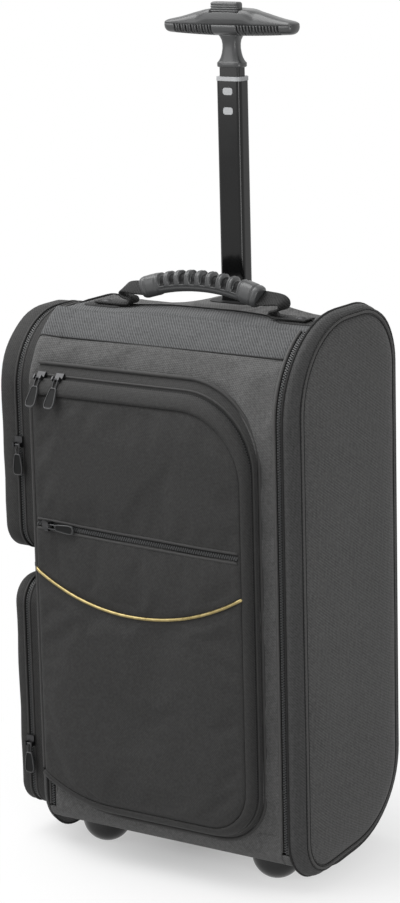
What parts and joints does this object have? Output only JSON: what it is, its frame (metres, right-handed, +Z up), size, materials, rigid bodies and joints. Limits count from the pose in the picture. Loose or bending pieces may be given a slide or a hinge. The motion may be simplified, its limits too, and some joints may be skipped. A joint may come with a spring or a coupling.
{
  "type": "rolling soft makeup case",
  "caption": "Soft-sided rolling makeup case with a zipped drop-down lid, outside pockets, a carry handle, wheels and a telescoping T-grip pull pole.",
  "frame": {"origin": "middle of the outer box, on the floor", "axes": "+Z up, -Y towards the front with the lid and front pocket, +X to the plain side"},
  "size_m": [0.3528, 0.2274, 0.84],
  "materials": {
    "case_twill": "charcoal twill nylon over foam padding, matt with a fine diagonal weave",
    "black_binding": "black bound piping cord, satin",
    "webbing": "black ribbed nylon webbing, matt",
    "zip_tape": "black woven zip tape with a nylon coil",
    "gold_cord": "gold metallic piping cord, soft sheen",
    "fibre_board": "hard fibre board, matt",
    "bare_aluminium": "drawn aluminium, satin",
    "black_moulding": "black moulded plastic, finely grained",
    "gloss_foot": "black moulded plastic, glossy",
    "black_tube": "gloss black enamelled tube",
    "pale_moulding": "pale grey moulded plastic, smooth",
    "steel": "plain steel, satin",
    "grey_moulding": "dark grey moulded plastic, satin",
    "wheel_tyre": "black solid rubber, matt",
    "wheel_hub": "dark grey moulded plastic, satin",
    "slider_metal": "black enamelled zinc, satin",
    "pull_rubber": "black moulded soft pull tab, matt"
  },
  "bodies": {
    "case": {"side_panel_right": "case_twill", "side_panel_left": "case_twill", "side_piping_right": "black_binding", "side_piping_left": "black_binding", "body_shell": "case_twill", "base_board": "fibre_board", "frame_sheet": "fibre_board", "pole_housing": "bare_aluminium", "pole_foot": "black_moulding", "pole_collar": "black_moulding", "handle_patches": "webbing", "handle_rivets": "steel", "hand_straps": "webbing", "wheel_housings": "black_moulding", "wheel_axles": "steel", "front_feet": "gloss_foot", "main_zip_case": "zip_tape", "upper_pocket_base": "case_twill", "upper_pocket_zip": "zip_tape", "lower_pocket_base": "case_twill", "lower_pocket_zip": "zip_tape"},
    "lid": {"lid_panel": "case_twill", "main_zip_lid": "zip_tape", "pocket_gusset": "case_twill", "pocket_zip": "zip_tape"},
    "pocket_flap": {"pocket_face": "case_twill", "slip_pocket_zip": "zip_tape", "gold_piping": "gold_cord"},
    "upper_cover": {"upper_pocket_cover": "case_twill"},
    "lower_cover": {"lower_pocket_cover": "case_twill"},
    "lower_pole": {"lower_tube": "black_tube", "tube_bush": "pale_moulding", "tube_shoe": "black_moulding"},
    "upper_pole": {"upper_tube": "black_tube", "grip_neck": "grey_moulding", "grip_lower": "grey_moulding", "grip_upper": "grey_moulding", "button_spring": "steel"},
    "release": {"release_button": "grey_moulding", "push_rod": "steel"},
    "carry_grip": {"hand_grip": "grey_moulding"},
    "wheel_right": {"tyre_right": "wheel_tyre", "hub_right": "wheel_hub"},
    "wheel_left": {"tyre_left": "wheel_tyre", "hub_left": "wheel_hub"},
    "main_zip_slider": {"main_slider": "slider_metal"},
    "main_zip_pull": {"main_pull": "pull_rubber"},
    "pocket_a_zip_slider": {"pocket_slider_a": "slider_metal"},
    "pocket_a_zip_pull": {"pocket_pull_a": "pull_rubber"},
    "pocket_b_zip_slider": {"pocket_slider_b": "slider_metal"},
    "pocket_b_zip_pull": {"pocket_pull_b": "pull_rubber"},
    "slip_zip_slider": {"slip_slider": "slider_metal"},
    "slip_zip_pull": {"slip_pull": "pull_rubber"},
    "upper_zip_slider": {"upper_slider": "slider_metal"},
    "upper_zip_pull": {"upper_pull": "pull_rubber"},
    "lower_zip_slider": {"lower_slider": "slider_metal"},
    "lower_zip_pull": {"lower_pull": "pull_rubber"}
  },
  "joints": [
    {"name": "lid_hinge", "type": "hinge", "parent": "case", "child": "lid", "pos_m": [0.0201, -0.0773, 0.044], "axis": [1, 0, 0], "range_deg": [0, 90]},
    {"name": "pocket_flap_hinge", "type": "hinge", "parent": "lid", "child": "pocket_flap", "pos_m": [-0.1124, -0.1018, 0.27], "axis": [0, 0, -1], "range_deg": [0, 90]},
    {"name": "upper_cover_hinge", "type": "hinge", "parent": "case", "child": "upper_cover", "pos_m": [-0.1504, 0.0782, 0.42], "axis": [0, 0, -1], "range_deg": [0, 95]},
    {"name": "lower_cover_hinge", "type": "hinge", "parent": "case", "child": "lower_cover", "pos_m": [-0.1504, 0.0782, 0.15], "axis": [0, 0, -1], "range_deg": [0, 95]},
    {"name": "lower_pole_slide", "type": "slide", "parent": "case", "child": "lower_pole", "axis": [0, 0, 1], "range_m": [-0.21, 0]},
    {"name": "upper_pole_slide", "type": "slide", "parent": "lower_pole", "child": "upper_pole", "axis": [0, 0, 1], "range_m": [0, 0.2]},
    {"name": "release_press", "type": "slide", "parent": "upper_pole", "child": "release", "axis": [0, 0, -1], "range_m": [0, 0.005], "stiffness_N_per_m": 500, "springref_m": -0.004, "deforming": ["button_spring"]},
    {"name": "carry_grip_swing", "type": "hinge", "parent": "case", "child": "carry_grip", "pos_m": [0.0201, 0.0062, 0.565], "axis": [1, 0, 0], "range_deg": [-40, 40], "stiffness_Nm_per_rad": 0.1},
    {"name": "wheel_right_spin", "type": "hinge", "parent": "case", "child": "wheel_right", "pos_m": [0.1321, 0.0846, 0.025], "axis": [1, 0, 0], "continuous": true},
    {"name": "wheel_left_spin", "type": "hinge", "parent": "case", "child": "wheel_left", "pos_m": [-0.0919, 0.0846, 0.025], "axis": [1, 0, 0], "continuous": true},
    {"name": "main_zip_run", "type": "slide", "parent": "lid", "child": "main_zip_slider", "axis": [0, 0, 1], "range_m": [-0.22, 0.15]},
    {"name": "main_pull_swing", "type": "hinge", "parent": "main_zip_slider", "child": "main_zip_pull", "pos_m": [-0.1184, -0.0868, 0.29725], "axis": [-1, 0, 0], "range_deg": [0, 100]},
    {"name": "pocket_a_zip_run", "type": "slide", "parent": "pocket_flap", "child": "pocket_a_zip_slider", "axis": [1, 0, 0], "range_m": [0, 0.009]},
    {"name": "pocket_a_pull_swing", "type": "hinge", "parent": "pocket_a_zip_slider", "child": "pocket_a_zip_pull", "pos_m": [-0.1044, -0.09671, 0.48869], "axis": [-1, 0, 0], "range_deg": [0, 90]},
    {"name": "pocket_b_zip_run", "type": "slide", "parent": "pocket_flap", "child": "pocket_b_zip_slider", "axis": [1, 0, 0], "range_m": [0, 0.14]},
    {"name": "pocket_b_pull_swing", "type": "hinge", "parent": "pocket_b_zip_slider", "child": "pocket_b_zip_pull", "pos_m": [-0.0824, -0.09671, 0.48869], "axis": [-1, 0, 0], "range_deg": [0, 90]},
    {"name": "slip_zip_run", "type": "slide", "parent": "pocket_flap", "child": "slip_zip_slider", "axis": [0.9996, 0, -0.0297], "range_m": [0, 0.17]},
    {"name": "slip_pull_swing", "type": "hinge", "parent": "slip_zip_slider", "child": "slip_zip_pull", "pos_m": [-0.09065, -0.1083, 0.344], "axis": [0, 0, -1], "range_deg": [0, 120]},
    {"name": "upper_zip_run", "type": "slide", "parent": "case", "child": "upper_zip_slider", "axis": [0, 0, 1], "range_m": [-0.07, 0.04]},
    {"name": "upper_pull_swing", "type": "hinge", "parent": "upper_zip_slider", "child": "upper_zip_pull", "pos_m": [-0.1504, -0.0743, 0.41225], "axis": [-1, 0, 0], "range_deg": [0, 110]},
    {"name": "lower_zip_run", "type": "slide", "parent": "case", "child": "lower_zip_slider", "axis": [0, 0, 1], "range_m": [-0.03, 0.13]},
    {"name": "lower_pull_swing", "type": "hinge", "parent": "lower_zip_slider", "child": "lower_zip_pull", "pos_m": [-0.1504, -0.0743, 0.10125], "axis": [-1, 0, 0], "range_deg": [0, 110]}
  ]
}
